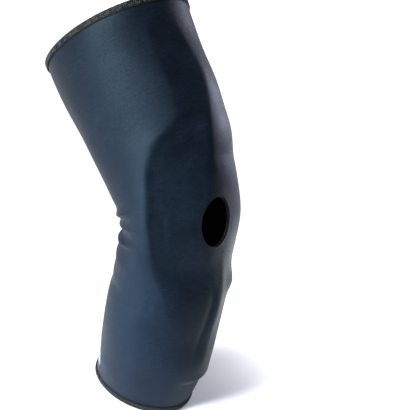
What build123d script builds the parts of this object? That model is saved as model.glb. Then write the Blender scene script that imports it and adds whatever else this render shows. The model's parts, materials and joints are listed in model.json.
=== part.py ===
"""Pull-on knee brace: a laminated elastic sleeve with an open patella, bent as on a knee.

Millimetres, +Z up. The calf half stands upright on its hem, the knee's front faces -Y and
the thigh half leans back towards +Y. The origin is under the middle of the whole sleeve.
"""
from build123d import *
import os
from math import ceil, cos, degrees, radians, sin

os.makedirs("parts", exist_ok=True)

# ---- centre line: straight calf, round bend at the knee, straight thigh ----
LENGTH = 381.0            # along the centre line, hem to hem
REST_FLEXION = 46.4       # how far the knee is bent as the sleeve rests, degrees
BEND_RADIUS = 80.0        # of the centre line at the knee
BEND_MIDDLE = 194.0       # distance of the knee joint from the calf hem, along the line
CALF_AXIS_Y = -69.36      # puts the origin under the middle of the sleeve

# ---- girth: (distance above the calf hem, half width, depth in front, depth behind) ----
STATIONS = [
    (0.0, 44.5, 50.0, 56.0),      # calf hem
    (38.0, 53.5, 57.5, 51.5),
    (84.0, 61.0, 56.5, 51.0),     # fullest part of the calf
    (130.0, 61.0, 54.0, 52.0),
    (164.0, 62.0, 46.0, 50.5),    # under the kneecap
    (194.0, 63.0, 47.0, 53.0),    # knee joint
    (224.0, 63.0, 58.0, 57.5),
    (256.0, 64.0, 70.5, 62.0),    # above the kneecap
    (297.0, 67.5, 75.5, 68.0),
    (343.0, 69.0, 73.0, 79.0),
    (381.0, 65.0, 78.5, 86.0),    # thigh hem
]

# ---- laminate, from the outside in ----
PLIES = (
    ("face_fabric", 0.45),
    ("foam_core", 2.0),
    ("lining", 0.45),
)
GLUE = 0.05               # glue line between two plies
REST_GAP = 0.08           # between the wall and what is sewn or pressed on it
WALL = sum(thickness for _, thickness in PLIES) + 2 * GLUE

# ---- zones of the sleeve ----
KNEE_REACH = 78.0         # the part that takes up the bend, each way from the knee joint
ZONE_GAP = 0.4            # clearance between two zones
CALF_TOP = BEND_MIDDLE - KNEE_REACH
THIGH_BOTTOM = BEND_MIDDLE + KNEE_REACH
ZONES = {
    "calf": (0.0, CALF_TOP - ZONE_GAP / 2),
    "knee": (CALF_TOP + ZONE_GAP / 2, THIGH_BOTTOM - ZONE_GAP / 2),
    "thigh": (THIGH_BOTTOM + ZONE_GAP / 2, LENGTH),
}

# ---- kneecap opening, cut through all the plies ----
OPENING_CENTRE = 190.0    # along the centre line
OPENING_WIDTH = 37.0
OPENING_HEIGHT = 48.0

# ---- hems: a tape folded over the edge, sewn down with zigzag stitches ----
TAPE = 0.7
HEM_WIDTH = 7.0
THREAD = 0.4
STITCH_MARGIN = 1.2       # from the stitches to the tape's two edges

# ---- back seam ----
SEAM_WIDTH = 6.0
SEAM_TAPE_WIDTH = 14.0
SEAM_TAPE_THICK = 0.4
SEAM_END = HEM_WIDTH + 1.0

# ---- care label, inside the thigh hem beside the back seam ----
LABEL_WIDTH = 22.0
LABEL_LENGTH = 38.0
LABEL_THICK = 0.3
LABEL_SIDE = 12.0         # from the back seam to the label's near edge
LABEL_STITCH_WIDTH = 1.2
LABEL_STITCH_MARGIN = 1.0

# ---- plain transfer patch, outside the calf at the back ----
PATCH_WIDTH = 14.0
PATCH_HEIGHT = 34.0
PATCH_CORNER = 2.0
PATCH_THICK = 0.2
PATCH_CENTRE = 37.0       # above the hem
PATCH_TURN = 52.0         # from straight behind towards the outer side, degrees

SECTION_STEP = 10.0       # the longest stretch between two sections of a loft
FAR = 900.0               # size of a cutter that reaches beyond the whole sleeve


def centre(distance):
    """Point of the centre line at a distance from the calf hem, and the line's tilt there."""
    flexion = radians(REST_FLEXION)
    bend_length = BEND_RADIUS * flexion
    bend_start = BEND_MIDDLE - bend_length / 2
    tilt = min(max((distance - bend_start) / BEND_RADIUS, 0.0), flexion)
    below = min(distance, bend_start)
    above = max(distance - bend_start - bend_length, 0.0)
    y = CALF_AXIS_Y + BEND_RADIUS * (1 - cos(tilt)) + above * sin(tilt)
    z = below + BEND_RADIUS * sin(tilt) + above * cos(tilt)
    return (0.0, y, z), tilt


def section_plane(distance):
    """Plane across the sleeve: its x is the object's x and its y points to the back."""
    point, tilt = centre(distance)
    return Plane(origin=point, x_dir=(1, 0, 0), z_dir=(0, sin(tilt), cos(tilt)))


def girth(distance):
    """Half width, front depth and back depth at a distance, on a smooth curve by the stations."""
    last = len(STATIONS) - 1
    below = max(i for i in range(last) if STATIONS[i][0] <= distance)
    start, end = STATIONS[below][0], STATIONS[below + 1][0]
    span = end - start
    t = (distance - start) / span
    values = []
    for column in (1, 2, 3):
        slopes = []
        for i in (below, below + 1):
            before, after = STATIONS[max(i - 1, 0)], STATIONS[min(i + 1, last)]
            slopes.append((after[column] - before[column]) / (after[0] - before[0]))
        rise = STATIONS[below + 1][column] - STATIONS[below][column]
        bow = (1 - t) * (slopes[0] * span - rise) - t * (slopes[1] * span - rise)
        values.append(STATIONS[below][column] + t * rise + t * (1 - t) * bow)
    return values


def evenly(low, high):
    """Distances from low to high, at most SECTION_STEP apart."""
    count = ceil((high - low) / SECTION_STEP)
    return [low + (high - low) * i / count for i in range(count + 1)]


def ring(distance, inset):
    """Outline across the sleeve, an inset under its outer face: two half ellipses."""
    half_width, front, back = (value - inset for value in girth(distance))
    front_arc = EllipticalCenterArc((0, 0), half_width, front, 180, arc_size=180)
    back_arc = EllipticalCenterArc((0, 0), half_width, back, 0, arc_size=180)
    return section_plane(distance) * Wire([front_arc, back_arc])


def wall(low, high, outer_inset, inner_inset):
    """The sleeve's wall from one distance to another, and from one inset to another."""
    solids = []
    for inset in (outer_inset, inner_inset):
        solids.append(Solid.make_loft([ring(distance, inset) for distance in evenly(low, high)]))
    return solids[0] - solids[1]


def back_strip(low, high, x_low, x_high, outer_inset, inner_inset):
    """A strip of the wall that runs down the sleeve's back between two x values."""
    slab = Pos((x_low + x_high) / 2, 0, 0) * Box(x_high - x_low, FAR, FAR)
    strips = wall(low, high, outer_inset, inner_inset) & slab
    return strips.solids().sort_by(Axis.Y)[-1]


def kneecap_cutter():
    """Oval bar that cuts the opening out of the front wall."""
    plane = section_plane(OPENING_CENTRE)
    facing = Plane(origin=plane.origin, x_dir=(1, 0, 0), z_dir=-plane.y_dir)
    return extrude(facing * Ellipse(OPENING_WIDTH / 2, OPENING_HEIGHT / 2), FAR)


def save(shape, node):
    """Write one node's solids."""
    export_step(shape, f"parts/{node}.step")


def ply(node_ending, outer_inset, inner_inset):
    """One ply of the laminate, in its three zones. The knee zone has the opening."""
    for zone, (low, high) in ZONES.items():
        low = max(low, TAPE + REST_GAP)
        high = min(high, LENGTH - TAPE - REST_GAP)
        shape = wall(low, high, outer_inset, inner_inset)
        if zone == "knee":
            shape -= kneecap_cutter()
        save(shape, f"{zone}_{node_ending}")


def hem(zone, edge, inward):
    """Folded tape around a hem, and the bands of stitches on its two faces.

    edge is the hem's distance along the centre line, and inward is +1 or -1, away from it.
    """
    def band(start, end, outer_inset, inner_inset):
        low, high = sorted((edge + inward * start, edge + inward * end))
        return wall(low, high, outer_inset, inner_inset)

    outer_face = -REST_GAP - TAPE
    inner_face = WALL + REST_GAP + TAPE
    folded = band(0.0, HEM_WIDTH, outer_face, inner_face)
    filling = band(TAPE, HEM_WIDTH, -REST_GAP, WALL + REST_GAP)
    save(folded - filling, f"{zone}_hem_binding")
    row = (STITCH_MARGIN, HEM_WIDTH - STITCH_MARGIN)
    outside = band(*row, outer_face - REST_GAP - THREAD, outer_face - REST_GAP)
    inside = band(*row, inner_face + REST_GAP, inner_face + REST_GAP + THREAD)
    save(Compound(children=[outside, inside]), f"{zone}_hem_stitching")


def back_seam():
    """Flat stitches outside and a soft tape inside, down the back of each zone."""
    for zone, (low, high) in ZONES.items():
        ends = (max(low, SEAM_END), min(high, LENGTH - SEAM_END))
        half = SEAM_WIDTH / 2
        save(back_strip(*ends, -half, half, -REST_GAP - THREAD, -REST_GAP), f"{zone}_back_seam_stitching")
        half = SEAM_TAPE_WIDTH / 2
        skin = WALL + REST_GAP
        save(back_strip(*ends, -half, half, skin, skin + SEAM_TAPE_THICK), f"{zone}_back_seam_tape")


def care_label():
    """Blank woven label inside the thigh, held along its top edge by a row of stitches."""
    top = LENGTH - SEAM_END
    sides = (LABEL_SIDE, LABEL_SIDE + LABEL_WIDTH)
    skin = WALL + REST_GAP
    label = back_strip(top - LABEL_LENGTH, top, *sides, skin, skin + LABEL_THICK)
    save(label, "care_label")
    skin += LABEL_THICK + REST_GAP
    row_top = top - LABEL_STITCH_MARGIN
    row_sides = (sides[0] + LABEL_STITCH_MARGIN, sides[1] - LABEL_STITCH_MARGIN)
    row = back_strip(row_top - LABEL_STITCH_WIDTH, row_top, *row_sides, skin, skin + THREAD)
    save(row, "care_label_stitching")


def transfer_patch():
    """Plain film pressed on the calf, bent with the fabric."""
    turn = radians(PATCH_TURN)
    facing = Plane(
        origin=(0, CALF_AXIS_Y, PATCH_CENTRE),
        x_dir=(cos(turn), sin(turn), 0),
        z_dir=(-sin(turn), cos(turn), 0),
    )
    outline = facing * RectangleRounded(PATCH_WIDTH, PATCH_HEIGHT, PATCH_CORNER)
    film = wall(SEAM_END, PATCH_CENTRE + PATCH_HEIGHT, -REST_GAP - PATCH_THICK, -REST_GAP)
    save(film & extrude(outline, FAR), "calf_transfer_patch")


inset = 0.0
for node_ending, thickness in PLIES:
    ply(node_ending, inset, inset + thickness)
    inset += thickness + GLUE

hem("calf", 0.0, 1)
hem("thigh", LENGTH, -1)
back_seam()
care_label()
transfer_patch()

knee_point, knee_tilt = centre(BEND_MIDDLE)
print("knee axis at", [round(value, 2) for value in knee_point], "tilt", round(degrees(knee_tilt), 2))
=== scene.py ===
"""Looks of a pull-on knee brace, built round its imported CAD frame.

Metres, in the CAD's own frame: the calf stands on its hem, the knee's front faces -Y and the
thigh leans back. Every piece is worked out on the sleeve's skin, a function of the distance
along the centre line, the angle round it and the depth under the outer face.
"""
import bpy
import json
from math import cos, pi, radians, sin
import numpy as np
from mathutils import Matrix, Vector


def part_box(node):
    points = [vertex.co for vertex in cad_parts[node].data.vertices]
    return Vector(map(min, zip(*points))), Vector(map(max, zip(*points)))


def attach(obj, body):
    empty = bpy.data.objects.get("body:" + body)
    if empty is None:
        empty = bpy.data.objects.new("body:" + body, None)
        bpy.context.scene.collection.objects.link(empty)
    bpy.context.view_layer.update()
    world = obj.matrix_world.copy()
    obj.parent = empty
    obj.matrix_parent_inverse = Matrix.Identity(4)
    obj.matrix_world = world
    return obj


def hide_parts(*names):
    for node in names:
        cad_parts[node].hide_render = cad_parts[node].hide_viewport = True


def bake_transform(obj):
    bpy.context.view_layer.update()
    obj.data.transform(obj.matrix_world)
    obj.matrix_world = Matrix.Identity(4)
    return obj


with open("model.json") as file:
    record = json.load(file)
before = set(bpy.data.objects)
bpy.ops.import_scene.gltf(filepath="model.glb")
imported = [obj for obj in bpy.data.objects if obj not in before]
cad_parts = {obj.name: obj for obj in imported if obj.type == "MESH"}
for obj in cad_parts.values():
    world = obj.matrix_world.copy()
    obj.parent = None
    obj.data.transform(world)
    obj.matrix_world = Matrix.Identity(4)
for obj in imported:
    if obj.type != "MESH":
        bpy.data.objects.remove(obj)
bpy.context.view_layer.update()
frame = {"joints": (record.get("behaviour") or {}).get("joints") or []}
scene = bpy.context.scene
MM = 0.001
KNEE = Vector(frame["joints"][0]["pos_m"])

# ---- the sleeve's form, the same as in the CAD ----
LENGTH = 381 * MM              # along the centre line, hem to hem
REST_FLEXION = radians(46.4)
BEND_RADIUS = 80 * MM
BEND_MIDDLE = 194 * MM         # distance of the knee joint from the calf hem
BEND_START = BEND_MIDDLE - BEND_RADIUS * REST_FLEXION / 2
CALF_AXIS_Y = KNEE.y - BEND_RADIUS * (1 - cos(REST_FLEXION / 2))
STATIONS = MM * np.array([     # distance from the calf hem, half width, depth in front, behind
    (0.0, 44.5, 50.0, 56.0),
    (38.0, 53.5, 57.5, 51.5),
    (84.0, 61.0, 56.5, 51.0),
    (130.0, 61.0, 54.0, 52.0),
    (164.0, 62.0, 46.0, 50.5),
    (194.0, 63.0, 47.0, 53.0),
    (224.0, 63.0, 58.0, 57.5),
    (256.0, 64.0, 70.5, 62.0),
    (297.0, 67.5, 75.5, 68.0),
    (343.0, 69.0, 73.0, 79.0),
    (381.0, 65.0, 78.5, 86.0),
])

# ---- laminate: depth of each ply's two faces under the outer face ----
WALL = 3 * MM
FACE = (0, 0.45 * MM)
FOAM = (0.5 * MM, 2.5 * MM)
LINING = (2.55 * MM, WALL)

# ---- kneecap opening ----
OPENING_CENTRE = 190 * MM
OPENING_HALF_WIDTH = 18.5 * MM
OPENING_HALF_HEIGHT = 24 * MM

# ---- hems: tape folded over the edge, sewn with zigzags and a row of loops ----
TAPE = 0.7 * MM
HEM_WIDTH = 7 * MM
SKIN_GAP = 0.08 * MM           # between the wall and what is sewn or pressed on it
HEM_OUTSIDE = -SKIN_GAP        # depth of the tape's near side, outside the wall
HEM_INSIDE = WALL + SKIN_GAP   # and inside it
HEM_MIDDLE = (HEM_OUTSIDE + HEM_INSIDE) / 2
HEM_FOLD = 1.6 * MM            # how much of the tape's width is its round fold
HEM_PUCKER = 0.16 * MM         # how far each stitch draws the tape in
HEM_PITCH = 4 * MM             # from stitch to stitch
HEM_THREAD = 0.33 * MM         # radius

# ---- back seam ----
SEAM_END = HEM_WIDTH + 1 * MM
SEAM_PITCH = 2.6 * MM
SEAM_ROW = 2.4 * MM            # from the middle row of stitches to the outer ones
SEAM_THREAD = 0.24 * MM
SEAM_TAPE_HALF_WIDTH = 7 * MM
SEAM_TAPE = 0.4 * MM

# ---- care label, beside the back seam ----
LABEL_SIDES = (12 * MM, 34 * MM)
LABEL_LENGTH = 38 * MM
LABEL = 0.3 * MM
LABEL_CURL = 0.7 * MM
LABEL_THREAD = 0.16 * MM

# ---- transfer patch ----
PATCH_TURN = radians(52)       # from straight behind towards the outer side
PATCH_HALF_WIDTH = 7 * MM
PATCH_CORNER = 2 * MM
PATCH = 0.2 * MM

THREAD_SIDES = 6

# ---- places round the sleeve ----
FRONT = radians(270)
BACK = radians(90)
ROUND = 58 * MM                # mean radius, to measure distances on the skin

# ---- camera: its direction from the object, its tilt, and how far off its middle it looks ----
CAMERA_AZIMUTH = radians(-49.9)
CAMERA_ELEVATION = radians(24.1)
CAMERA_ROLL = radians(13.35)
CAMERA_YAW = radians(-2.53)
CAMERA_DISTANCE = 0.908
CAMERA_LENS = 82.76            # millimetres, on a sensor 36 mm wide


# ======== the skin ========

def girth(distance):
    """Half width, front depth and back depth, on a smooth curve through the stations."""
    s = np.clip(np.asarray(distance, float), 0, LENGTH)
    at = STATIONS[:, 0]
    slopes = np.empty_like(STATIONS[:, 1:])
    slopes[1:-1] = (STATIONS[2:, 1:] - STATIONS[:-2, 1:]) / (at[2:] - at[:-2])[:, None]
    slopes[0] = (STATIONS[1, 1:] - STATIONS[0, 1:]) / (at[1] - at[0])
    slopes[-1] = (STATIONS[-1, 1:] - STATIONS[-2, 1:]) / (at[-1] - at[-2])
    i = np.clip(np.searchsorted(at, s, side="right") - 1, 0, len(at) - 2)
    span = (at[i + 1] - at[i])[..., None]
    t = (s[..., None] - at[i][..., None]) / span
    low, high = STATIONS[i, 1:], STATIONS[i + 1, 1:]
    rise = high - low
    bow = (1 - t) * (slopes[i] * span - rise) - t * (slopes[i + 1] * span - rise)
    return low + t * rise + t * (1 - t) * bow


def centre(distance):
    """y, z and tilt of the centre line."""
    s = np.asarray(distance, float)
    tilt = np.clip((s - BEND_START) / BEND_RADIUS, 0, REST_FLEXION)
    above = np.maximum(s - BEND_START - BEND_RADIUS * REST_FLEXION, 0)
    y = CALF_AXIS_Y + BEND_RADIUS * (1 - np.cos(tilt)) + above * np.sin(tilt)
    z = np.minimum(s, BEND_START) + BEND_RADIUS * np.sin(tilt) + above * np.cos(tilt)
    return y, z, tilt


def on_sleeve(s, angle, height):
    """Points a height above the plain sleeve, without its relief."""
    half_width, front, back = np.moveaxis(girth(s), -1, 0)
    depth = np.where(np.sin(angle) < 0, front, back)
    x, v = half_width * np.cos(angle), depth * np.sin(angle)
    normal_x, normal_v = depth * np.cos(angle), half_width * np.sin(angle)
    size = np.hypot(normal_x, normal_v)
    x = x + height * normal_x / size
    v = v + height * normal_v / size
    y, z, tilt = centre(s)
    return np.stack([x, y + v * np.cos(tilt), z - v * np.sin(tilt)], -1)


def smooth(t):
    """0 to 1, easing in and out."""
    t = np.clip(t, 0, 1)
    return t * t * (3 - 2 * t)


def curve_through(points, steps):
    """A smooth curve through (millimetres along, degrees round) points, as (metres, radians)."""
    corners = np.array([(s * MM, radians(a)) for s, a in points])
    padded = np.vstack([2 * corners[0] - corners[1], corners, 2 * corners[-1] - corners[-2]])
    t = np.linspace(0, 1, steps + 1)[:-1, None]
    spans = []
    for p0, p1, p2, p3 in zip(padded, padded[1:], padded[2:], padded[3:]):
        spans.append(0.5 * (2 * p1 + (p2 - p0) * t + (2 * p0 - 5 * p1 + 4 * p2 - p3) * t ** 2
                            + (3 * p1 - p0 - 3 * p2 + p3) * t ** 3))
    return np.vstack(spans + [corners[-1:]])


def off_path(s, angle, points):
    """Distance from a path, signed: positive on the right of its direction. Then 0 to 1 along it."""
    path = curve_through(points, 6) * (1, ROUND)
    steps = np.diff(path, axis=0)
    here = np.stack([s, angle * ROUND], -1)
    best = np.full(s.shape, 1.0)
    side = np.zeros(s.shape)
    share = np.zeros(s.shape)
    for i, (start, stride) in enumerate(zip(path, steps)):
        to = here - start
        t = np.clip((to @ stride) / (stride @ stride), 0, 1)
        gap = to - t[..., None] * stride
        distance = np.hypot(gap[..., 0], gap[..., 1])
        nearer = distance < best
        best = np.where(nearer, distance, best)
        cross = stride[0] * to[..., 1] - stride[1] * to[..., 0]
        side = np.where(nearer, np.sign(cross), side)
        share = np.where(nearer, (i + t) / len(steps), share)
    return best * side, share


def ends_fade(share, fade=0.2):
    """1 along a path, easing to 0 at its two ends."""
    return smooth(share / fade) * smooth((1 - share) / fade)


def ridge(s, angle, points, height, width, fade=0.2):
    """A rounded ridge along a path, or a groove if its height is below 0."""
    off, share = off_path(s, angle, points)
    return height * MM * np.exp(-(off / (width * MM)) ** 2) * ends_fade(share, fade)


def step(s, angle, points, height, width, reach, fade=0.2):
    """A step along a path: up on its left, down on its right, level again past its two reaches."""
    off, share = off_path(s, angle, points)
    reach_here = np.where(off < 0, reach[0], reach[1]) * MM
    shape = -np.tanh(off / (width * MM)) * np.exp(-(off / reach_here) ** 2)
    return height / 2 * MM * shape * ends_fade(share, fade)


def roof(s, angle, points, height, rounding, reach, fade=0.2):
    """A crest along a path with flat flanks, like a roof, level again past its reach."""
    off, share = off_path(s, angle, points)
    slope = np.exp(-(np.hypot(off, rounding * MM) - rounding * MM) / (reach * MM))
    return height * MM * slope * ends_fade(share, fade)


def swell(s, angle, along, round_at, height, length, width):
    """A rounded swelling. Sizes in millimetres, its place round the sleeve in degrees."""
    du = (angle - radians(round_at)) * ROUND / (width * MM)
    ds = (s - along * MM) / (length * MM)
    return height * MM * np.exp(-du ** 2 - ds ** 2)


# lines on the skin: (millimetres from the calf hem, degrees round: 90 behind, 180 outer side, 270 front)
OUTER_EDGE = [(15, 252), (50, 247), (90, 237), (130, 221), (160, 206), (192, 200), (222, 204), (250, 220),
              (275, 241), (372, 243)]
FRONT_EDGE = [(15, 266), (70, 272), (118, 279), (150, 272), (190, 256), (230, 265), (250, 266), (295, 274),
              (320, 274), (372, 267)]
REAR_EDGE = [(15, 152), (120, 152), (250, 158), (372, 160)]
MUSCLE_EDGE = [(158, 206), (192, 200), (222, 204), (250, 220), (264, 248), (268, 262)]
OUTER_CORD = [(204, 219), (190, 218), (172, 219)]
THIGH_CREST = [(372, 266), (320, 274), (295, 275), (250, 267), (212, 271)]
SHIN_CREST = [(176, 280), (140, 283), (95, 277), (47, 269)]
SHIN_GROOVE = [(150, 271), (128, 273), (98, 267), (52, 259)]
CALF_CREASE = [(124, 178), (120, 160), (119, 140), (121, 115)]

# rounded swellings: (millimetres from the calf hem, degrees round, height, length, width)
SWELLINGS = (
    (192, 318, 2.5, 18, 16),       # inner side of the kneecap
    (137, 308, 3.0, 10, 12),       # inner side, under the knee
    (251, 308, 1.5, 18, 16),       # inner side, over the knee
    (60, 264, 2.2, 18, 30),        # shin, over the cuff
)

# folds behind the knee: (millimetres from the calf hem, slant, height, width)
KNEE_FOLDS = ((171, 4, 4.6, 4.2), (188, -3, 4.2, 4.8), (206, 3, 3.6, 6.0), (148, -4, 1.6, 8))


def relief(s, angle):
    """Height of the skin over the plain sleeve: the limb's shape and the cloth's folds."""
    above_shin = smooth((s - 100 * MM) / (75 * MM))
    h = plane(s, angle, OUTER_EDGE, FRONT_EDGE, 0.14 + 0.61 * above_shin)
    h += plane(s, angle, REAR_EDGE, OUTER_EDGE, 0.02 + 0.14 * above_shin)
    h += step(s, angle, MUSCLE_EDGE, 2.2, 3.4, (22, 36))
    h += step(s, angle, OUTER_CORD, 0.6, 1.8, (6, 12), 0.3)
    h += roof(s, angle, THIGH_CREST, 1.6, 3.5, 12)
    h += roof(s, angle, SHIN_CREST, 2.4, 2.2, 9)
    h += ridge(s, angle, SHIN_GROOVE, -0.9, 3.5, 0.3)
    h += ridge(s, angle, CALF_CREASE, -1.3, 6.0, 0.35)
    for swelling in SWELLINGS:
        h += swell(s, angle, *swelling)
    return h + cuff_fold(s, angle) + knee_folds(s, angle) + drape(s, angle)


def plane(s, angle, low_line, high_line, share):
    """Draws the skin in towards the flat between two lines, by a share of its bulge."""
    low_at, low = curve_through(low_line, 8).T
    high_at, high = curve_through(high_line, 8).T
    low, high = np.interp(s, low_at, low), np.interp(s, high_at, high)
    half = (high - low) / 2
    bulge = 1 - ((angle - low - half) / half) ** 2
    dip = (bulge + np.sqrt(bulge ** 2 + 0.03)) / 2
    ends = smooth((s - 8 * MM) / (30 * MM)) * smooth((LENGTH - 8 * MM - s) / (34 * MM))
    return -share * ROUND * (1 - np.cos(half)) * dip * ends


def cuff_place(s, angle):
    """How strong the cuff's fold is at an angle, and the distance over it in millimetres."""
    turn = np.degrees(angle)
    strength = smooth((turn - 240) / 48) * smooth((352 - turn) / 40)
    return strength, (s - 39.5 * MM) / MM + 2.5 * np.sin(angle - FRONT)


def cuff_fold(s, angle):
    """The shin's bulge stops at a fold, and the cuff below it lies closer."""
    strength, over = cuff_place(s, angle)
    lip = smooth((over + 4.5) / 9)
    above = 2.6 * np.exp(-np.maximum(over, 0) / 14) * lip
    below = -2.4 * np.exp(-np.maximum(-over, 0) / 26) * (1 - lip)
    return MM * strength * (above + below)


def cuff_hang(s, angle):
    """The fold's lip hangs down over the cuff."""
    strength, over = cuff_place(s, angle)
    return -0.9 * MM * strength * np.exp(-((over - 2.2) / 4) ** 2)


def knee_fold_places(s, angle):
    """How strongly the folds behind the knee show at an angle, and each fold's (height, rise to 1)."""
    turn = np.degrees(angle)
    strength = smooth((turn - 8) / 40) * smooth((188 - turn) / 34)
    folds = []
    for along, slant, height, width in KNEE_FOLDS:
        middle = along + slant * np.sin(2 * angle + 0.4)
        folds.append((height, np.exp(-((s / MM - middle) / width) ** 2)))
    return strength, folds


def knee_folds(s, angle):
    """Cross folds behind the knee, where the sleeve is squeezed."""
    strength, folds = knee_fold_places(s, angle)
    squeeze = -3.8 * np.exp(-((s / MM - 184) / 22) ** 2)
    return MM * strength * (squeeze + sum(height * shape for height, shape in folds))


def knee_hang(s, angle):
    """The folds' lips hang down."""
    strength, folds = knee_fold_places(s, angle)
    return -0.75 * MM * strength * sum(height * shape for height, shape in folds)


def drape(s, angle):
    """Slight unevenness of stretched cloth: long shallow waves and a few finer ones."""
    u = angle * ROUND
    waves = 0.30 * np.sin(s / (31 * MM) + 1.3 * np.sin(u / (23 * MM)))
    waves += 0.22 * np.sin(u / (14 * MM) + 0.9 * np.sin(s / (37 * MM) + 1.1))
    waves += 0.10 * np.sin(s / (8.5 * MM) + 1.7 * np.sin(u / (19 * MM) + 0.5))
    away = smooth(s / (26 * MM)) * smooth((LENGTH - s) / (26 * MM))
    whole_turn = smooth(angle / 0.5) * smooth((2 * pi - angle) / 0.5)
    return MM * waves * away * whole_turn


def skin(s, angle, *depths):
    """Points of the sleeve at one or more depths under its outer face, relief included."""
    s, angle = np.broadcast_arrays(s, np.mod(angle, 2 * pi))
    height = relief(s, angle)
    hung = s + cuff_hang(s, angle) + knee_hang(s, angle)
    layers = [on_sleeve(hung, angle, height - depth) for depth in depths]
    return layers if len(layers) > 1 else layers[0]


# ======== meshes ========

def new_object(name, verts, faces, cloth=None):
    """Mesh object. cloth gives each face corner its place on the flat cloth, in metres."""
    mesh = bpy.data.meshes.new(name)
    mesh.from_pydata(np.asarray(verts).tolist(), [], faces)
    mesh.validate()
    mesh.shade_smooth()
    mesh.set_sharp_from_angle(angle=radians(50))
    if cloth is not None:
        layer = mesh.uv_layers.new(name="Cloth")
        layer.data.foreach_set("uv", np.asarray(cloth, np.float32).ravel())
    obj = bpy.data.objects.new(name, mesh)
    scene.collection.objects.link(obj)
    return obj


def opening_value(x, rise):
    """Below 1 inside the kneecap opening, 1 on its edge."""
    return np.hypot(x / OPENING_HALF_WIDTH, rise / OPENING_HALF_HEIGHT)


def rise_at(s, angle):
    """How far a point of the plain sleeve is above the opening's middle, across the bar that cuts it."""
    y, z, tilt = centre(OPENING_CENTRE)
    p = on_sleeve(s, angle, 0)
    return (p[..., 1] - y) * np.sin(tilt) + (p[..., 2] - z) * np.cos(tilt)


def front_place(x, rise, s):
    """The place (along, round) of a point in front of the knee, found from x and its rise."""
    for _ in range(12):
        angle = 2 * pi - np.arccos(np.clip(x / girth(s)[..., 0], -1, 1))
        nudge = 0.1 * MM
        slope = (rise_at(s + nudge, angle) - rise_at(s, angle)) / nudge
        s = s + (rise - rise_at(s, angle)) / slope
    return s, 2 * pi - np.arccos(np.clip(x / girth(s)[..., 0], -1, 1))


def neighbour_mean(grid):
    """Mean of each point's four neighbours."""
    return sum(np.roll(grid, shift, axis) for axis in (0, 1) for shift in (1, -1)) / 4


def fit_grid_to_opening(s, angle):
    """Moves a grid's points so that one loop of them lies on the opening's edge.

    Returns the grid and which of its cells are kept.
    """
    x = girth(s)[..., 0] * np.cos(angle)
    rise = rise_at(s, angle)
    beside = np.abs(x) < 2.2 * OPENING_HALF_WIDTH
    level = np.abs(rise) < 2.2 * OPENING_HALF_HEIGHT
    near = (np.sin(angle) < 0) & beside & level
    value = np.where(near, opening_value(x, rise), 9.0)
    pairs = value + np.roll(value, -1, 1)
    kept = (pairs[:-1] + pairs[1:]) / 4 > 1
    touching = np.zeros(s.shape, int)
    for rows in (slice(None, -1), slice(1, None)):
        for turn in (0, 1):
            touching[rows] += np.roll(kept, turn, 1)
    edge = near & (touching > 0) & (touching < 4)
    free = near & (touching == 4) & (value < 1.9)
    for _ in range(40):
        value = opening_value(x, rise)
        x, rise = np.where(edge, x / value, x), np.where(edge, rise / value, rise)
        for grid in (x, rise):
            grid[free] = neighbour_mean(grid)[free]
    moved = edge | free
    s, angle = s.copy(), angle.copy()
    s[moved], angle[moved] = front_place(x[moved], rise[moved], s[moved])
    return s, angle, kept


def rows_along(low, high, spacing):
    """Distances from low to high, closer together at the cuff's fold."""
    fine = np.linspace(low, high, 2000)
    density = 1 + 1.8 * np.exp(-((fine - 39 * MM) / (5 * MM)) ** 2)
    share = np.cumsum(density) - density[0]
    count = int(round(share[-1] / 2000 * (high - low) / spacing))
    return np.interp(np.linspace(0, share[-1], count + 1), share, fine)


def cell_corners(grid, r, c, whole_turn=0):
    """A grid's values at the corners of its cells. The last column's cells join the first one."""
    d = (c + 1) % grid.shape[1]
    turned = (d == 0) * whole_turn
    return np.stack([grid[r, c], grid[r, d] + turned, grid[r + 1, d] + turned, grid[r + 1, c]], 1)


def shell_faces(kept, index, turned, s):
    """Faces of a closed shell over a grid's kept cells, and their corners' places on flat cloth.

    The inner skin's points are numbered after the outer skin's. Edges without a neighbour get a rim.
    """
    r, c = np.nonzero(kept)
    quads = cell_corners(index, r, c)
    cloth = np.stack([cell_corners(turned, r, c, 2 * pi) * ROUND, cell_corners(s, r, c)], -1)
    faces, places = [quads, index.size + quads[:, ::-1]], [cloth, cloth[:, ::-1]]
    padded = np.pad(kept, ((1, 1), (0, 0)))
    d = (c + 1) % kept.shape[1]
    neighbours = (padded[r, c], padded[r + 1, d], padded[r + 2, c], padded[r + 1, c - 1])
    for k, neighbour in enumerate(neighbours):
        m = (k + 1) % 4
        a, b = quads[~neighbour, k], quads[~neighbour, m]
        faces.append(np.stack([b, a, index.size + a, index.size + b], 1))
        places.append(cloth[~neighbour][:, [m, k, k, m]])
    return np.vstack(faces), np.vstack(places)


def sleeve_shell(name, depths, spacing):
    """One ply of the sleeve as a closed shell, open at both hems and at the kneecap."""
    edge = TAPE + SKIN_GAP
    rows = rows_along(edge, LENGTH - edge, spacing)
    columns = int(round(2 * pi * ROUND * 1.06 / spacing))
    turns = np.mod(BACK + np.arange(columns) * 2 * pi / columns, 2 * pi)
    s, angle = np.meshgrid(rows, turns, indexing="ij")
    s, angle, kept = fit_grid_to_opening(s, angle)
    outer, inner = skin(s, angle, *depths)
    index = np.arange(s.size).reshape(s.shape)
    faces, cloth = shell_faces(kept, index, np.unwrap(angle, axis=1), s)
    used, faces = np.unique(faces, return_inverse=True)
    verts = np.vstack([outer.reshape(-1, 3), inner.reshape(-1, 3)])[used]
    return new_object(name, verts, faces.reshape(-1, 4).tolist(), cloth)


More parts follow.
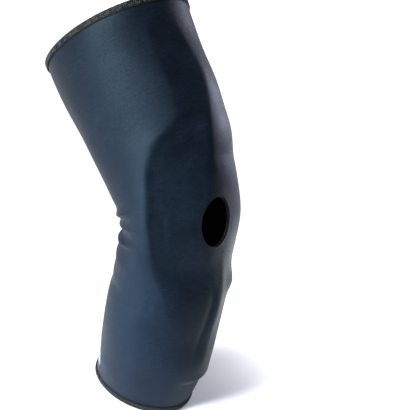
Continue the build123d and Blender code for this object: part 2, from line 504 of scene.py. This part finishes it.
def profile_ring(name, profile, count, surface):
    """A closed outline swept round the sleeve. surface(point, angle) places the outline's points."""
    angles = BACK + np.arange(count) * 2 * pi / count
    verts = np.stack([surface(point, angles) for point in profile], 1)
    size = len(profile)
    lengths = np.linalg.norm(np.diff(verts[0], axis=0, append=verts[0][:1]), axis=1)
    across = np.concatenate([[0], np.cumsum(lengths)])
    faces, corners = [], []
    for i in range(count):
        j = (i + 1) % count
        for k in range(size):
            m = (k + 1) % size
            faces.append((i * size + k, j * size + k, j * size + m, i * size + m))
            u = i * 2 * pi * ROUND / count
            v = u + 2 * pi * ROUND / count
            corners += [(u, across[k]), (v, across[k]), (v, across[k + 1]), (u, across[k + 1])]
    return new_object(name, verts.reshape(-1, 3), faces, corners)


def small_sheet(name, s, angle, depths):
    """A small closed sheet on the skin over a grid of places."""
    rows, columns = s.shape
    outer, inner = skin(s, angle, *depths)
    verts = np.vstack([outer.reshape(-1, 3), inner.reshape(-1, 3)])
    count = rows * columns
    place = np.stack([angle * ROUND, s], -1).reshape(-1, 2)
    faces, corners = [], []

    def add(quad):
        faces.append(quad)
        corners.extend(place[v % count] for v in quad)

    for r in range(rows - 1):
        for c in range(columns - 1):
            a = r * columns + c
            quad = (a, a + 1, a + columns + 1, a + columns)
            add(quad)
            add(tuple(count + v for v in reversed(quad)))
    rim = list(range(columns)) + [r * columns + columns - 1 for r in range(1, rows)]
    rim += [(rows - 1) * columns + c for c in range(columns - 2, -1, -1)]
    rim += [r * columns for r in range(rows - 2, 0, -1)]
    for a, b in zip(rim, rim[1:] + rim[:1]):
        add((b, a, count + a, count + b))
    return new_object(name, verts, faces, corners)


def thread_rings(points, closed, radius):
    """Rings of points round a thread, one at each point of its path."""
    ahead = np.roll(points, -1, 0) - np.roll(points, 1, 0)
    if not closed:
        ahead[0], ahead[-1] = points[1] - points[0], points[-1] - points[-2]
    ahead /= np.linalg.norm(ahead, axis=1, keepdims=True)
    off_line = 1e-6
    side = np.cross(ahead, points - points.mean(0) + off_line)
    side /= np.linalg.norm(side, axis=1, keepdims=True)
    up = np.cross(side, ahead)
    turns = (np.arange(THREAD_SIDES) * 2 * pi / THREAD_SIDES)[None, :, None]
    return points[:, None] + radius * (np.cos(turns) * side[:, None] + np.sin(turns) * up[:, None])


def threads(name, paths, radius):
    """Round threads along (points, closed) paths, as one mesh. A closed path joins its own start."""
    verts, faces, corners = [], [], []
    for points, closed in paths:
        base, count = len(verts), len(points)
        verts.extend(thread_rings(points, closed, radius).reshape(-1, 3))
        strides = np.linalg.norm(np.roll(points, -1, 0) - points, axis=1)
        length = np.concatenate([[0], np.cumsum(strides)])
        for i in range(count if closed else count - 1):
            j = (i + 1) % count
            for k in range(THREAD_SIDES):
                m = (k + 1) % THREAD_SIDES
                ring, following = base + i * THREAD_SIDES, base + j * THREAD_SIDES
                faces.append((ring + k, following + k, following + m, ring + m))
                v0, v1 = k * radius, (k + 1) * radius
                corners += [(length[i], v0), (length[i + 1], v0), (length[i + 1], v1), (length[i], v1)]
        if not closed:
            for i, sides in ((0, range(THREAD_SIDES)), (count - 1, reversed(range(THREAD_SIDES)))):
                for k in sides:
                    corners.append((length[i], k * radius))
                first = base + i * THREAD_SIDES
                face = tuple(range(first, first + THREAD_SIDES))
                faces.append(face if i == 0 else face[::-1])
    return new_object(name, verts, faces, corners)


# ======== materials ========

class Shader:
    """A node material that is put together step by step."""

    def __init__(self, name, **principled):
        self.material = bpy.data.materials.new(name)
        self.material.use_nodes = True
        self.tree = self.material.node_tree
        self.surface = self.tree.nodes["Principled BSDF"]
        for socket, value in principled.items():
            self.surface.inputs[socket.replace("_", " ")].default_value = value

    def node(self, kind, inputs=(), **settings):
        """Adds a node. inputs maps a socket's name or number to a value or another node's output."""
        made = self.tree.nodes.new("ShaderNode" + kind)
        for key, value in settings.items():
            setattr(made, key, value)
        for key, value in dict(inputs).items():
            if isinstance(value, bpy.types.NodeSocket):
                self.tree.links.new(value, made.inputs[key])
            else:
                made.inputs[key].default_value = value
        return made

    def link(self, output, socket):
        self.tree.links.new(output, self.surface.inputs[socket])

    def cloth_place(self):
        return self.node("UVMap", uv_map="Cloth").outputs["UV"]

    def object_place(self):
        return self.node("TexCoord").outputs["Object"]

    def noise(self, place, scale, detail=3.0, roughness=0.55):
        inputs = {"Vector": place, "Scale": scale, "Detail": detail, "Roughness": roughness}
        return self.node("TexNoise", inputs).outputs["Fac"]

    def bands(self, place, pitch, direction, distortion=0.0):
        """Parallel ribs of a pitch in metres."""
        inputs = {"Vector": place, "Scale": 2 * pi / 20 / pitch, "Distortion": distortion,
                  "Detail": 1.0, "Detail Scale": 2.0}
        return self.node("TexWave", inputs, bands_direction=direction).outputs["Fac"]

    def math(self, operation, first, second):
        return self.node("Math", {0: first, 1: second}, operation=operation).outputs[0]

    def span(self, value, low, high, to_low=0.0, to_high=1.0):
        inputs = {"Value": value, "From Min": low, "From Max": high, "To Min": to_low, "To Max": to_high}
        return self.node("MapRange", inputs).outputs[0]

    def colours(self, value, *stops):
        ramp = self.node("ValToRGB", {"Fac": value})
        elements = ramp.color_ramp.elements
        while len(elements) < len(stops):
            elements.new(0.5)
        for element, (position, colour) in zip(elements, stops):
            element.position = position
            element.color = (*colour, 1)
        return ramp.outputs["Color"]

    def mix(self, share, first, second):
        made = self.node("Mix", data_type="RGBA")
        for socket, value in zip((0, 6, 7), (share, first, second)):
            if isinstance(value, bpy.types.NodeSocket):
                self.tree.links.new(value, made.inputs[socket])
            else:
                made.inputs[socket].default_value = value
        return made.outputs[2]

    def bump(self, *layers):
        """Stacks (height, metres, strength) layers of bump."""
        normal = None
        for height, distance, strength in layers:
            inputs = {"Height": height, "Distance": distance, "Strength": strength}
            if normal is not None:
                inputs["Normal"] = normal
            normal = self.node("Bump", inputs).outputs["Normal"]
        self.link(normal, "Normal")


def face_material():
    """Navy nylon knit: a satin sheen, fine wales, slight mottling."""
    m = Shader("NavyKnit", Roughness=0.5, Sheen_Weight=0.01, Sheen_Roughness=0.3,
               Sheen_Tint=(0.8, 0.78, 1.0, 1), Specular_IOR_Level=0.13, Specular_Tint=(0.5, 0.78, 1.0, 1))
    cloth = m.cloth_place()
    wales = m.bands(cloth, 0.75 * MM, "X", 0.6)
    courses = m.bands(cloth, 0.9 * MM, "Y", 0.6)
    knit = m.math("MULTIPLY", wales, courses)
    mottle = m.noise(m.object_place(), 38.0, 4.0)
    grain = m.noise(cloth, 620.0, 3.0, 0.7)
    stretched = m.node("Mapping", {"Vector": cloth, "Scale": (0.35, 1.0, 1.0)}).outputs["Vector"]
    slubs = m.noise(stretched, 420.0, 2.0, 0.6)
    base = m.colours(mottle, (0.3, (0.0024, 0.0050, 0.0102)), (0.7, (0.0058, 0.0108, 0.0200)))
    knitted = m.mix(m.span(knit, 0.0, 1.0, 0.0, 0.4), base, (0.012, 0.020, 0.034, 1))
    flecked = m.mix(m.span(grain, 0.38, 0.66, 0.0, 0.6), knitted, (0.001, 0.002, 0.004, 1))
    m.link(m.mix(m.span(slubs, 0.35, 0.65, 0.0, 0.5), flecked, (0.001, 0.002, 0.004, 1)), "Base Color")
    m.link(m.span(m.math("ADD", mottle, grain), 0.7, 1.3, 0.42, 0.60), "Roughness")
    m.bump((knit, 0.10 * MM, 0.5), (grain, 0.16 * MM, 0.55), (slubs, 0.25 * MM, 0.4),
           (mottle, 1.0 * MM, 0.35))
    return m.material


def foam_material():
    """Black closed-cell foam rubber, seen on the cut edge."""
    m = Shader("FoamRubber", Roughness=0.85, Specular_IOR_Level=0.12)
    place = m.object_place()
    cells = m.node("TexVoronoi", {"Vector": place, "Scale": 2600.0}).outputs["Distance"]
    tone = m.noise(place, 140.0)
    m.link(m.colours(tone, (0.3, (0.003, 0.003, 0.004)), (0.7, (0.008, 0.008, 0.009))), "Base Color")
    m.link(m.span(tone, 0.3, 0.7, 0.72, 0.9), "Roughness")
    m.bump((cells, 0.15 * MM, 0.7))
    return m.material


def lining_material():
    """Brushed charcoal knit: matt and a little fuzzy."""
    m = Shader("BrushedLining", Roughness=0.95, Sheen_Weight=0.08, Sheen_Roughness=0.6,
               Sheen_Tint=(0.7, 0.75, 0.85, 1), Specular_IOR_Level=0.08)
    cloth = m.cloth_place()
    wales = m.bands(cloth, 1.1 * MM, "X", 2.5)
    nap = m.noise(m.object_place(), 420.0, 5.0, 0.7)
    tone = m.noise(m.object_place(), 60.0)
    base = m.colours(tone, (0.3, (0.018, 0.020, 0.026)), (0.7, (0.030, 0.033, 0.042)))
    m.link(m.mix(m.span(nap, 0.4, 0.7, 0.0, 0.5), base, (0.060, 0.064, 0.076, 1)), "Base Color")
    m.link(m.span(nap, 0.3, 0.7, 0.88, 1.0), "Roughness")
    m.bump((wales, 0.2 * MM, 0.5), (nap, 0.4 * MM, 0.5))
    return m.material


def tape_material(name, low, high):
    """Ribbed elastic tape."""
    m = Shader(name, Roughness=0.75, Specular_IOR_Level=0.2)
    cloth = m.cloth_place()
    ribs = m.bands(cloth, 0.9 * MM, "X", 0.5)
    picks = m.bands(cloth, 0.6 * MM, "Y", 0.5)
    tone = m.noise(m.object_place(), 220.0, 4.0)
    base = m.colours(tone, (0.3, low), (0.75, high))
    m.link(m.mix(m.span(ribs, 0.2, 1.0, 0.0, 0.35), base, (0.004, 0.004, 0.004, 1)), "Base Color")
    m.link(m.span(tone, 0.3, 0.7, 0.66, 0.86), "Roughness")
    m.bump((ribs, 0.25 * MM, 0.6), (picks, 0.12 * MM, 0.5))
    return m.material


def thread_material(name, dark, light):
    """Bulked nylon thread: twisted strands, flecked."""
    m = Shader(name, Roughness=0.6, Specular_IOR_Level=0.3)
    cloth = m.cloth_place()
    twist = m.bands(cloth, 0.55 * MM, "DIAGONAL", 0.4)
    fleck = m.noise(m.object_place(), 300.0, 3.0, 0.6)
    base = m.colours(fleck, (0.46, dark), (0.54, light))
    m.link(m.mix(m.span(twist, 0.0, 0.6, 0.5, 0.0), base, (0.006, 0.006, 0.008, 1)), "Base Color")
    m.link(m.span(fleck, 0.3, 0.7, 0.5, 0.72), "Roughness")
    m.bump((twist, 0.12 * MM, 0.8))
    return m.material


def film_material():
    """Plain transfer film, pale in life, a little worn, with the knit showing through. Its mid-grey colour
    is painted shade, far darker than the pale film itself.
    """
    m = Shader("PaleFilmPaintedShade", Roughness=0.6, Specular_IOR_Level=0.2)
    cloth = m.cloth_place()
    knit = m.math("MULTIPLY", m.bands(cloth, 0.75 * MM, "X", 0.6), m.bands(cloth, 0.9 * MM, "Y", 0.6))
    wear = m.noise(m.object_place(), 260.0, 6.0, 0.7)
    # painted shade: mid grey, far darker than the pale film, with the wear's random patches on top
    base = m.colours(wear, (0.3, (0.13, 0.14, 0.15)), (0.7, (0.17, 0.18, 0.20)))
    m.link(base, "Base Color")
    m.link(m.span(wear, 0.3, 0.7, 0.7, 0.5), "Roughness")
    m.bump((knit, 0.08 * MM, 0.4), (wear, 0.1 * MM, 0.3))
    return m.material


def label_material():
    """Blank off-white satin label."""
    m = Shader("LabelSatin", Roughness=0.45, Sheen_Weight=0.3, Sheen_Roughness=0.3, Specular_IOR_Level=0.5)
    cloth = m.cloth_place()
    weave = m.bands(cloth, 0.35 * MM, "Y", 0.3)
    tone = m.noise(m.object_place(), 120.0)
    base = m.colours(tone, (0.3, (0.62, 0.61, 0.57)), (0.7, (0.74, 0.73, 0.69)))
    m.link(m.mix(m.span(weave, 0.0, 1.0, 0.0, 0.15), base, (0.5, 0.5, 0.47, 1)), "Base Color")
    m.link(m.span(tone, 0.3, 0.7, 0.4, 0.55), "Roughness")
    m.bump((weave, 0.08 * MM, 0.5))
    return m.material


def floor_material():
    m = Shader("PaleFloor", Roughness=0.7, Specular_IOR_Level=0.2)
    tone = m.noise(m.object_place(), 2.0)
    m.link(m.colours(tone, (0.3, (0.86, 0.86, 0.87)), (0.7, (0.90, 0.90, 0.90))), "Base Color")
    return m.material


# ======== pieces ========

def finish_piece(obj, material, nodes, body=None):
    """Material, slot and CAD nodes of a piece, and the body it rides on; a piece without a body gets its
    transform baked into its mesh.
    """
    obj.data.materials.append(material)
    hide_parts(*nodes)
    if body:
        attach(obj, body)
    else:
        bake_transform(obj)
    return obj


def zones(ending):
    """The three CAD nodes of a piece that runs the whole length."""
    return [f"{zone}_{ending}" for zone in ("calf", "knee", "thigh")]


def zigzag(phase):
    """-1 at each whole phase, 1 halfway, straight in between."""
    return 1 - 2 * np.abs(2 * phase - 1)


def make_laminate():
    """Face fabric, foam core and lining, each one unbroken shell."""
    face = sleeve_shell("face_fabric", FACE, 1.5 * MM)
    finish_piece(face, face_material(), zones("face_fabric"))
    core = sleeve_shell("foam_core", FOAM, 2.5 * MM)
    finish_piece(core, foam_material(), zones("foam_core"))
    lining = sleeve_shell("lining", LINING, 2.0 * MM)
    finish_piece(lining, lining_material(), zones("lining"))
    return face, core, lining


def hem_profile():
    """Outline of the folded tape: (distance from the hem's edge, depth, share of the pucker)."""
    inner_radius = (HEM_INSIDE - HEM_OUTSIDE) / 2
    outer_radius = inner_radius + TAPE
    turns = [pi * i / 8 for i in range(9)]
    widths = [HEM_WIDTH - (HEM_WIDTH - HEM_FOLD) * i / 6 for i in range(6)]
    profile = [(w, HEM_OUTSIDE - TAPE, 1.0) for w in widths]
    profile += [(HEM_FOLD * (1 - sin(t)), HEM_MIDDLE - outer_radius * cos(t), 0.4) for t in turns]
    profile += [(w, HEM_INSIDE + TAPE, 1.0) for w in reversed(widths)]
    profile += [(w, HEM_INSIDE, 0.0) for w in widths]
    profile += [(TAPE, HEM_MIDDLE - inner_radius * cos(t) * 0.999, 0.0) for t in reversed(turns)]
    profile += [(w, HEM_OUTSIDE, 0.0) for w in reversed(widths)]
    return profile


def hem_stitch_count(edge):
    return int(round(2 * pi * girth(edge).mean() / HEM_PITCH))


def make_hem_tape(zone, edge, inward, material):
    """Tape folded over a hem and drawn in at each stitch. inward is 1 or -1, away from the edge."""
    stitches = hem_stitch_count(edge)

    def surface(point, angles):
        across, depth, share = point
        pucker = HEM_PUCKER * share * np.cos(stitches * angles) * sin(pi * min(across / HEM_WIDTH, 1))
        outward = 1 if depth < HEM_MIDDLE else -1
        return skin(edge + inward * across, angles, depth + outward * pucker)

    tape = profile_ring(f"{zone}_hem_tape", hem_profile(), 5 * stitches, surface)
    if inward < 0:
        tape.data.flip_normals()
    return finish_piece(tape, material, [f"{zone}_hem_binding"], f"{zone}_section")


def make_hem_zigzag(zone, edge, inward, material):
    """Two crossing zigzags and a row of loops on each face of a hem's tape."""
    stitches = hem_stitch_count(edge)
    steps = np.arange(stitches * 12) / (stitches * 12)
    angles = BACK + 2 * pi * steps
    phase = np.mod(steps * stitches, 1)
    reach = HEM_WIDTH / 2 - 1.3 * MM
    paths = []
    for side, base in ((-1, HEM_OUTSIDE - TAPE), (1, HEM_INSIDE + TAPE)):
        lift = side * (0.22 * MM + 0.16 * MM * np.cos(2 * pi * phase) ** 2)
        for flip in (1, -1):
            across = HEM_WIDTH / 2 + flip * reach * zigzag(phase)
            depth = base + lift + flip * 0.08 * MM
            paths.append((skin(edge + inward * across, angles, depth), True))
        across = HEM_WIDTH - 1.5 * MM + 0.45 * MM * np.sin(2 * pi * phase)
        paths.append((skin(edge + inward * across, angles, base + side * 0.2 * MM), True))
    stitching = threads(f"{zone}_hem_zigzag", paths, HEM_THREAD)
    return finish_piece(stitching, material, [f"{zone}_hem_stitching"], f"{zone}_section")


def make_seam_stitches(material):
    """Flat stitches down the back: three rows, and two zigzags across them."""
    count = int(round((LENGTH - 2 * SEAM_END) / SEAM_PITCH))
    t = np.arange(count * 10 + 1) / (count * 10)
    s = SEAM_END + t * (LENGTH - 2 * SEAM_END)
    phase = np.mod(t * count, 1)
    half_width = girth(s)[:, 0]
    lift = -0.30 * MM - 0.12 * MM * np.cos(2 * pi * phase)
    paths = []
    for row in (-1, 0, 1):
        x = row * SEAM_ROW + 0.25 * MM * np.sin(2 * pi * phase)
        paths.append((skin(s, BACK - x / half_width, lift), False))
    for flip in (1, -1):
        x = flip * SEAM_ROW * zigzag(phase)
        paths.append((skin(s, BACK - x / half_width, lift + 0.1 * MM), False))
    stitching = threads("back_seam_stitching", paths, SEAM_THREAD)
    return finish_piece(stitching, material, zones("back_seam_stitching"))


def make_seam_tape(material):
    """Soft tape over the seam, inside."""
    along = np.linspace(SEAM_END, LENGTH - SEAM_END, 200)
    across = np.linspace(-SEAM_TAPE_HALF_WIDTH, SEAM_TAPE_HALF_WIDTH, 13)
    s, x = np.meshgrid(along, across, indexing="ij")
    depth = WALL + SKIN_GAP
    tape = small_sheet("back_seam_tape", s, BACK - x / girth(s)[..., 0], (depth, depth + SEAM_TAPE))
    return finish_piece(tape, material, zones("back_seam_tape"))


def make_label():
    """Blank label inside the thigh, curling a little below its row of stitches."""
    top = LENGTH - SEAM_END
    along = np.linspace(top - LABEL_LENGTH, top, 39)
    s, x = np.meshgrid(along, np.linspace(*LABEL_SIDES, 23), indexing="ij")
    loose = smooth((top - 12 * MM - s) / (26 * MM))
    curl = LABEL_CURL * loose * (1 + 0.5 * np.sin(x / (4 * MM)))
    depth = WALL + SKIN_GAP + curl
    label = small_sheet("woven_label", s, np.arccos(x / girth(s)[..., 0]), (depth, depth + LABEL))
    return finish_piece(label, label_material(), ["care_label"], "thigh_section")


def make_label_stitches(material):
    """The row of stitches along the label's top edge."""
    x = np.linspace(LABEL_SIDES[0] + 1 * MM, LABEL_SIDES[1] - 1 * MM, 161)
    s = LENGTH - SEAM_END - 1.6 * MM + 0.45 * MM * np.sign(np.sin(x / (0.5 * MM)))
    depth = WALL + SKIN_GAP + LABEL + 0.15 * MM
    points = skin(s, np.arccos(x / girth(s)[:, 0]), depth)
    stitching = threads("label_stitches", [(points, False)], LABEL_THREAD)
    return finish_piece(stitching, material, ["care_label_stitching"], "thigh_section")


def rounded_rectangle(half_width, half_height, corner):
    """A grid of (across, up) points over a rectangle, its corners drawn in to a radius."""
    t = np.linspace(-1, 1, 29)
    v, u = np.meshgrid(t * half_height, t[::2] * half_width, indexing="ij")
    over_u = np.maximum(np.abs(u) - (half_width - corner), 0)
    over_v = np.maximum(np.abs(v) - (half_height - corner), 0)
    tiny = 1e-9
    size = np.hypot(over_u, over_v)
    shrink = np.where(size > tiny, np.maximum(over_u, over_v) / np.maximum(size, tiny), 1)
    u = np.sign(u) * (np.minimum(np.abs(u), half_width - corner) + over_u * shrink)
    v = np.sign(v) * (np.minimum(np.abs(v), half_height - corner) + over_v * shrink)
    return u, v


def make_patch():
    """Plain rounded film on the calf's outer side, towards the back."""
    low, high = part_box("calf_transfer_patch")
    middle = (low + high) / 2
    u, v = rounded_rectangle(PATCH_HALF_WIDTH, (high.z - low.z) / 2, PATCH_CORNER)
    s = middle.z + v
    angle = np.full(s.shape, np.arctan2(middle.y - CALF_AXIS_Y, middle.x))
    for _ in range(8):
        p = on_sleeve(s, angle, 0)
        across = (p[..., 0] - middle.x) * cos(PATCH_TURN) + (p[..., 1] - middle.y) * sin(PATCH_TURN)
        angle = angle + (across - u) / ROUND
    patch = small_sheet("calf_transfer_patch_film", s, angle, (-SKIN_GAP - PATCH, -SKIN_GAP))
    return finish_piece(patch, film_material(), ["calf_transfer_patch"], "calf_section")


# ======== studio ========

def make_camera():
    """Looks at the outer side of the knee from the front, from above, rolled a little."""
    level = cos(CAMERA_ELEVATION)
    back = Vector((sin(CAMERA_AZIMUTH) * level, -cos(CAMERA_AZIMUTH) * level, sin(CAMERA_ELEVATION)))
    target = Vector((0, CALF_AXIS_Y + 30 * MM, 190 * MM))
    data = bpy.data.cameras.new("Camera")
    data.lens = CAMERA_LENS
    data.sensor_width = 36
    camera = bpy.data.objects.new("Camera", data)
    scene.collection.objects.link(camera)
    look = (-back).to_track_quat("-Z", "Y").to_matrix()
    look = look @ Matrix.Rotation(CAMERA_ROLL, 3, "Z") @ Matrix.Rotation(CAMERA_YAW, 3, "Y")
    camera.matrix_world = Matrix.Translation(target + back * CAMERA_DISTANCE) @ look.to_4x4()
    scene.camera = camera


def soft_light(name, place, aim, size, power, colour=(1, 1, 1), spread=180):
    """A square softbox that the camera can't see. spread is how wide it shines, in degrees."""
    data = bpy.data.lights.new(name, "AREA")
    data.size = size
    data.energy = power
    data.color = colour
    data.spread = radians(spread)
    light = bpy.data.objects.new(name, data)
    scene.collection.objects.link(light)
    light.visible_camera = False
    light.location = place
    light.rotation_mode = "QUATERNION"
    light.rotation_quaternion = (Vector(aim) - Vector(place)).to_track_quat("-Z", "Y")


def make_floor():
    """A plain pale floor under the calf hem."""
    reach = 6.0
    corners = [(-reach, -reach, 0), (reach, -reach, 0), (reach, reach, 0), (-reach, reach, 0)]
    mesh = bpy.data.meshes.new("floor")
    mesh.from_pydata(corners, [], [(0, 1, 2, 3)])
    floor = bpy.data.objects.new("floor", mesh)
    scene.collection.objects.link(floor)
    floor.data.materials.append(floor_material())


def make_studio():
    """Soft light: a key from the left, a narrow one on the calf, a rim, and two on the floor."""
    make_floor()
    world = bpy.data.worlds.new("Studio")
    world.use_nodes = True
    background = world.node_tree.nodes["Background"]
    background.inputs["Color"].default_value = (1, 1, 1, 1)
    background.inputs["Strength"].default_value = 0.21
    scene.world = world
    scene.view_settings.view_transform = "Standard"
    soft_light("KeyLight", (-1.25, 0.28, 0.85), (0, -0.04, 0.14), 0.8, 56)
    soft_light("CalfLight", (-0.62, 0.03, 0.20), (0, -0.07, 0.03), 0.3, 1.25, (0.76, 0.86, 1.0), spread=36)
    soft_light("RimLight", (1.30, -0.15, 0.55), (0, -0.05, 0.2), 0.5, 15, (0.80, 0.80, 1.0))
    soft_light("FloorLight", (1.9, 1.5, 1.5), (1.9, 1.5, 0), 1.6, 34, spread=100)
    soft_light("ShadowLight", (0.45, -0.22, 1.0), (0.45, -0.22, 0), 0.2, 3.0, spread=38)


make_camera()
face, core, lining = make_laminate()

hem_tape = tape_material("HemTape", (0.003, 0.0024, 0.0024), (0.010, 0.007, 0.006))
calf_thread = thread_material("CalfHemThread", (0.002, 0.002, 0.002), (0.018, 0.014, 0.013))
thigh_thread = thread_material("ThighHemThread", (0.002, 0.003, 0.004), (0.036, 0.048, 0.056))
calf_hem = make_hem_tape("calf", 0, 1, hem_tape)
make_hem_zigzag("calf", 0, 1, calf_thread)
thigh_hem = make_hem_tape("thigh", LENGTH, -1, hem_tape)
make_hem_zigzag("thigh", LENGTH, -1, thigh_thread)

seam_thread = thread_material("SeamThread", (0.010, 0.014, 0.022), (0.03, 0.04, 0.055))
soft_tape = tape_material("SeamTape", (0.008, 0.008, 0.010), (0.018, 0.018, 0.022))
seam_stitches = make_seam_stitches(seam_thread)
seam_tape = make_seam_tape(soft_tape)

label = make_label()
make_label_stitches(seam_thread)
patch = make_patch()

make_studio()
